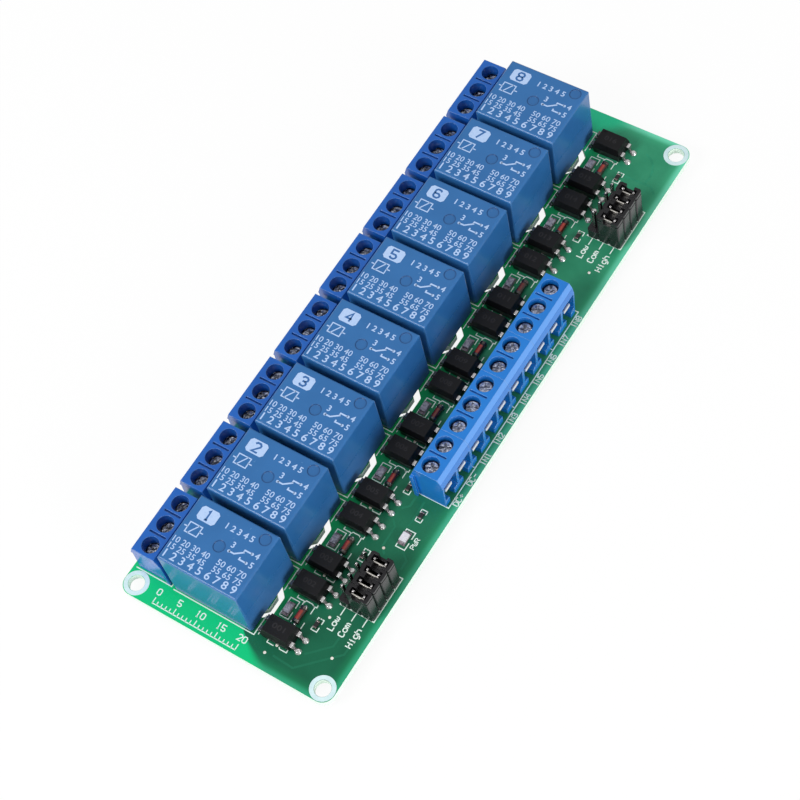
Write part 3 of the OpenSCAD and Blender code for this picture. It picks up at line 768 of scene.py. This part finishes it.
inputMarks = {"left": 16.4, "right": 23.35, "near": -25.0, "far": 25.3, "hook": 0.9,
              "ticks": (-15, 0.2, 15.2), "tickLength": 0.85,
              "labels": ["DC+", "DC-"] + [f"IN{number}" for number in range(1, 9)],
              "labelX": 24.17, "labelHeight": 1.1, "labelLine": 0.21, "labelDrift": 0.07}


def inputPrint(ink):
    look = inputMarks
    left, right, near, far = look["left"], look["right"], look["near"], look["far"]
    ink.line([(left, near), (right, near), (right, far), (right - look["hook"], far)], silk["line"])
    for tick in look["ticks"]:
        ink.line([(right, tick), (right - look["tickLength"], tick)], silk["thin"])
    for index, (label, y) in enumerate(zip(look["labels"], wayY)):
        ink.strokes(label, look["labelX"], y + look["labelDrift"] * index, look["labelHeight"], 90,
                    look["labelLine"])


supplyMarks = {"left": 18.5, "right": 20.56, "near": 0.6, "far": 0.5, "nearHook": 1.7, "farHook": 1.5,
               "wordX": 21.65, "wordShift": 0.05, "wordHeight": 0.95, "wordLine": 0.17,
               "resistorAside": 0.25, "resistorBeyond": 0.85, "nearLeg": 0.9, "farLeg": 0.8}


def supplyPrint(ink):                            # round the supply lamp and its resistor
    look = supplyMarks
    low, high = supplyLamp
    left, right, near, far = look["left"], look["right"], low.y - look["near"], high.y + look["far"]
    ink.line([(right, near + look["nearHook"]), (right, near), (left, near), (left, far), (right, far),
              (right, far - look["farHook"])], silk["line"])
    ink.strokes("PWR", look["wordX"], middleOf(supplyLamp).y + look["wordShift"], look["wordHeight"], 90,
                look["wordLine"])
    low, high = supplyResistor
    left, right = low.x - look["resistorAside"], high.x + look["resistorAside"]
    near, far = low.y - look["resistorBeyond"], high.y + look["resistorBeyond"]
    for x in (left, right):
        ink.line([(x, near), (x, near + look["nearLeg"])], silk["thin"])
        ink.line([(x, far), (x, far - look["farLeg"])], silk["thin"])
    for y in (near, far):
        ink.line([(left, y), (right, y)], silk["thin"])


rulerMarks = {"start": -17.0, "foot": -70.15, "length": 20, "every": 5, "long": 1.3, "short": 0.8,
              "line": 0.2, "overhang": 0.1, "digitRise": 2.6, "digitHeight": 1.25, "digitLine": 0.22}


def rulerPrint(ink):                             # a plain ruler in millimetres
    look = rulerMarks
    start, foot, length = look["start"], look["foot"], look["length"]
    for step in range(length + 1):
        tall = look["short"] if step % look["every"] else look["long"]
        ink.line([(start + step, foot), (start + step, foot + tall)], look["line"])
    ink.line([(start - look["overhang"], foot), (start + length + look["overhang"], foot)], look["line"])
    for step in range(0, length + 1, look["every"]):
        ink.strokes(str(step), start + step, foot + look["digitRise"], look["digitHeight"], 0,
                    look["digitLine"])


boardInk = Print("board_print", boardTop, silk["proud"])
for middle in stationY:
    stationPrint(boardInk, middle)
for middle in headerY:
    headerPrint(boardInk, middle)
inputPrint(boardInk)
supplyPrint(boardInk)
rulerPrint(boardInk)
boardInk.done("whiteInk")
print("board print")


# tracks that show through the mask, and the tinned rims of holes that join the board's two sides

topCopper = {
    "proud": 0.012, "width": 0.45,
    "tracks": [[(10.1, -67.44), (14.88, -67.7), (22.1, -60.6), (22.15, -58.9)],
               [(15.3, -64.27), (19.35, -60.2), (19.4, -58.2)],
               [(14.9, -32.1), (16.2, -33.4), (16.25, -38.0), (17.5, -39.4)],
               [(20.45, -37.1), (22.1, -38.5), (22.1, -40.6)],
               [(18.5, -26.0), (18.5, -32.0)],
               [(15.3, 58.8), (21.5, 58.8), (22.9, 57.4)],
               [(16.6, 65.6), (18.0, 65.0), (19.2, 63.8), (19.9, 62.2), (20.1, 60.6), (19.9, 59.0)]],
    "stationTrack": [(15.2, -4.6), (16.4, -3.4), (16.4, 5.2), (15.2, 6.4)],
    "viaProud": 0.035, "viaDiameter": 0.62, "viaSides": 12,
    "vias": [(20.45, -62.34), (15.45, -55.6), (8.4, -67.72), (16.7, -38.3), (20.6, 34.5)],
    "stationVia": (9.67, -7.47)}


def upperTracks():
    look = topCopper
    tracks = Print("mask_tracks", boardTop, look["proud"])
    tracks.lines(look["tracks"], look["width"])
    for middle in stationY[2:-2]:
        tracks.lines([look["stationTrack"]], look["width"], y=middle)
    tracks.done("trackMask")


def viaRings():
    look = topCopper
    tin = Print("via_rings", boardTop, look["viaProud"])
    viaX, viaY = look["stationVia"]
    for x, y in look["vias"] + [(viaX, viaY + middle) for middle in stationY]:
        tin.disc(x, y, look["viaDiameter"], look["viaSides"])
    tin.done("viaTin")


# tracks under the board; the relay's pins are measured from its middle

lowerCopper = {
    "powerProud": 0.05, "signalProud": 0.02, "commonWidth": 2.6, "throwWidth": 2.0, "signalWidth": 0.6,
    "commonPin": 7.13, "coilPin": 4.92, "throwPin": -7.22, "pinRow": 6.02,
    "terminalX": -19.3, "throwRun": 3, "coilRun": 3.5, "coilBends": [(9.2, 4.6), (12.5, 4.6), (14.2, 3.2)],
    "signal": [(14.0, 1.0), (16.2, 1.0)], "gatherX": 18.2, "gatherY": 0.5, "gatherShare": 0.3}


def lowerTracks():                               # the wide soldered ones go to the terminals
    look = lowerCopper
    power = Print("power_tracks", boardLow.z, look["powerProud"])
    signal = Print("signal_tracks", boardLow.z, look["signalProud"])
    common, coil, throw = [relayX + look[pin] for pin in ("commonPin", "coilPin", "throwPin")]
    end, row = look["terminalX"], look["pinRow"]
    for middle in stationY:
        power.lines([[(common, 0), (end, 0)]], look["commonWidth"], y=middle)
        for side in (-1, 1):
            power.lines([[(throw, side * row), (throw - look["throwRun"], side * wayStep),
                          (end, side * wayStep)]], look["throwWidth"], y=middle)
            signal.lines([[(coil, side * row), (coil + look["coilRun"], side * row)]
                          + [(x, side * y) for x, y in look["coilBends"]]], look["signalWidth"], y=middle)
        gather = (look["gatherX"], middle * look["gatherShare"] + look["gatherY"])
        signal.line([(x, middle + y) for x, y in look["signal"]] + [gather], look["signalWidth"])
    power.done("trackTin")
    signal.done("trackMask")


upperTracks()
viaRings()
lowerTracks()
print("copper")


# faint numbers on the couplers

couplerMark = {"proud": 0.006, "height": 1.15, "weight": 0.02, "width": 2.8}

couplerInk = Print("coupler_marks", couplers[0][1].z, couplerMark["proud"])
for number, box in enumerate(couplers, 1):
    middle = middleOf(box)
    couplerInk.words(f"{number:03d}", middle.x, middle.y, couplerMark["height"], couplerMark["weight"],
                     couplerMark["width"])
couplerInk.done("laserMark")
print("coupler marks")


# print on the relays: a plate for the number, signs for the coil and the contact, rows of digits

relayMarks = {
    "proud": 0.006, "line": 0.24, "heavyLine": 0.312,
    "plate": (-7.5, 2.9, -3.3, 5.9), "plateCorner": 0.5, "numberLift": 0.004, "numberHeight": 2.0,
    "numberLine": 0.42,
    "coil": [(-7.7, -0.4), (-4.9, -0.4), (-4.9, 1.8), (-7.7, 1.8)],
    "coilLines": [[(-7.0, -0.4), (-5.6, 1.8)], [(-7.7, 0.7), (-8.5, 0.7)], [(-4.9, 0.7), (-4.1, 0.7)]],
    "contact": [[(2.3, 0.3), (3.5, 0.3), (5.2, 1.5)], [(6.6, 1.9), (5.0, 1.9), (5.0, 1.45)],
                [(6.6, -0.2), (5.0, -0.2), (5.0, 0.3)]],
    "pins": [(2.3, 0.3), (6.7, 1.9), (6.7, -0.2)], "pinDiameter": 0.6}

# text, place from the middle of the relay, height, weight, and width where it is set
relayWords = [
    ("1 2 3 4 5", 2.1, 4.4, 1.3, 0.03, 6.4),
    ("4", 7.8, 1.9, 1.3, 0.03, None), ("5", 7.8, -0.2, 1.3, 0.03, None), ("3", 2.4, 1.7, 1.3, 0.03, None),
    ("10 20 30 40", -4.5, -2.6, 1.3, 0.01, 8.4), ("50 60 70", 4.9, -2.6, 1.3, 0.01, 6.6),
    ("15 25 35 45", -4.5, -4.2, 1.3, 0.01, 8.4), ("55 65 75", 4.9, -4.2, 1.3, 0.01, 6.6),
    ("1 2 3 4 5 6 7 8 9", -0.15, -5.95, 1.7, 0.025, 16.8)]


def relayPrint(number, middle):
    look = relayMarks
    ink = Print(f"relay_print_{number}", relayTop, look["proud"])
    left, near, right, far = look["plate"]
    cut = look["plateCorner"]
    plate = [(left + cut, near), (right - cut, near), (right, near + cut), (right, far - cut),
             (right - cut, far), (left + cut, far), (left, far - cut), (left, near + cut)]
    ink.slab([(x + middle.x, y + middle.y) for x, y in plate])
    ink.line([(x + middle.x, y + middle.y) for x, y in look["coil"]], look["line"], True)
    ink.lines(look["coilLines"], look["line"], middle.x, middle.y)
    ink.lines(look["contact"], look["heavyLine"], middle.x, middle.y)
    for x, y in look["pins"]:
        ink.disc(x + middle.x, y + middle.y, look["pinDiameter"])
    for text, x, y, height, weight, width in relayWords:
        ink.words(text, x + middle.x, y + middle.y, height, weight, width)
    ink.done("relayInk")
    ground = Print(f"relay_number_{number}", relayTop + look["numberLift"], look["proud"])
    ground.strokes(str(number), middle.x + (left + right) / 2, middle.y + (near + far) / 2,
                   look["numberHeight"], 0, look["numberLine"])
    ground.done("relayGround")


for number, box in enumerate(covers, 1):
    relayPrint(number, middleOf(box))
print("relay prints")


# camera, light and floor

shot = {"place": (150.68, -146.676, 351.724), "turn": (28.98, 8.341, 32.581),   # millimetres, degrees
        "lens": 90.333, "sensor": 36, "nearest": 10}

camera = bpy.data.objects.new("camera", bpy.data.cameras.new("camera"))
bpy.context.scene.collection.objects.link(camera)
camera.location = Vector(shot["place"]) * mm
camera.rotation_euler = Euler([math.radians(angle) for angle in shot["turn"]], "XYZ")
camera.data.lens, camera.data.sensor_width = shot["lens"], shot["sensor"]
camera.data.clip_start = shot["nearest"] * mm
bpy.context.scene.camera = camera

lampSettings = {                                 # places and sizes in metres, power in watts
    "keyLamp": {"place": (-0.3, -0.6, 0.62), "size": 0.4, "power": 4.4},
    "sideLamp": {"place": (0.85, -0.15, 0.3), "size": 0.4, "power": 4.2},
    "topLamp": {"place": (0.05, -0.06, 0.85), "size": 0.16, "power": 0.8}}

for name, settings in lampSettings.items():
    lamp = bpy.data.lights.new(name, "AREA")
    lamp.size, lamp.energy = settings["size"], settings["power"]
    holder = bpy.data.objects.new(name, lamp)
    bpy.context.scene.collection.objects.link(holder)
    holder.location = settings["place"]
    holder.rotation_euler = (-Vector(settings["place"])).to_track_quat("-Z", "Y").to_euler()

white = (1, 1, 1, 1)
surround = {"light": 0.5, "seen": 1.0, "floor": (0.9, 0.9, 0.9, 1), "floorGlow": 0.92,
            "floorReach": 3.0, "floorGap": 0.1}

world = bpy.data.worlds.new("studio")
bpy.context.scene.world = world
world.use_nodes = True
studio = Nodes(world.node_tree)                  # plain numbers are mixed at sockets 2 and 3
strength = studio.add("ShaderNodeMix", {}, {0: studio.seenBy("Camera", "Transmission"),
                                            2: surround["light"], 3: surround["seen"]})
sky = world.node_tree.nodes["Background"]
studio.plug(sky.inputs["Strength"], strength)
studio.plug(sky.inputs["Color"], white)


def paleFloor():                                 # white to the camera, but it still takes the shadow
    finish = Finish("paleFloor", colour=surround["floor"], roughness=0.9)
    glow = finish.add("ShaderNodeEmission", {}, {"Color": white, "Strength": 1.0})
    seen = finish.seenBy("Camera", "Glossy", "Transmission") * surround["floorGlow"]
    mixed = finish.add("ShaderNodeMixShader", {}, {0: seen, 1: Value(finish, finish.shader.outputs[0]),
                                                   2: glow})
    finish.plug(finish.tree.nodes["Material Output"].inputs["Surface"], mixed)
    return finish.material


floorMesh = bpy.data.meshes.new("floor")
reach = surround["floorReach"]
floorMesh.from_pydata([(-reach, -reach, 0), (reach, -reach, 0), (reach, reach, 0), (-reach, reach, 0)],
                      [], [(0, 1, 2, 3)])
floorMesh.materials.append(paleFloor())
floor = bpy.data.objects.new("floor", floorMesh)
bpy.context.scene.collection.objects.link(floor)
floor.location.z = cadLow.z - surround["floorGap"] * mm
bpy.context.scene.view_settings.view_transform = "Standard"
print("camera, light and floor")
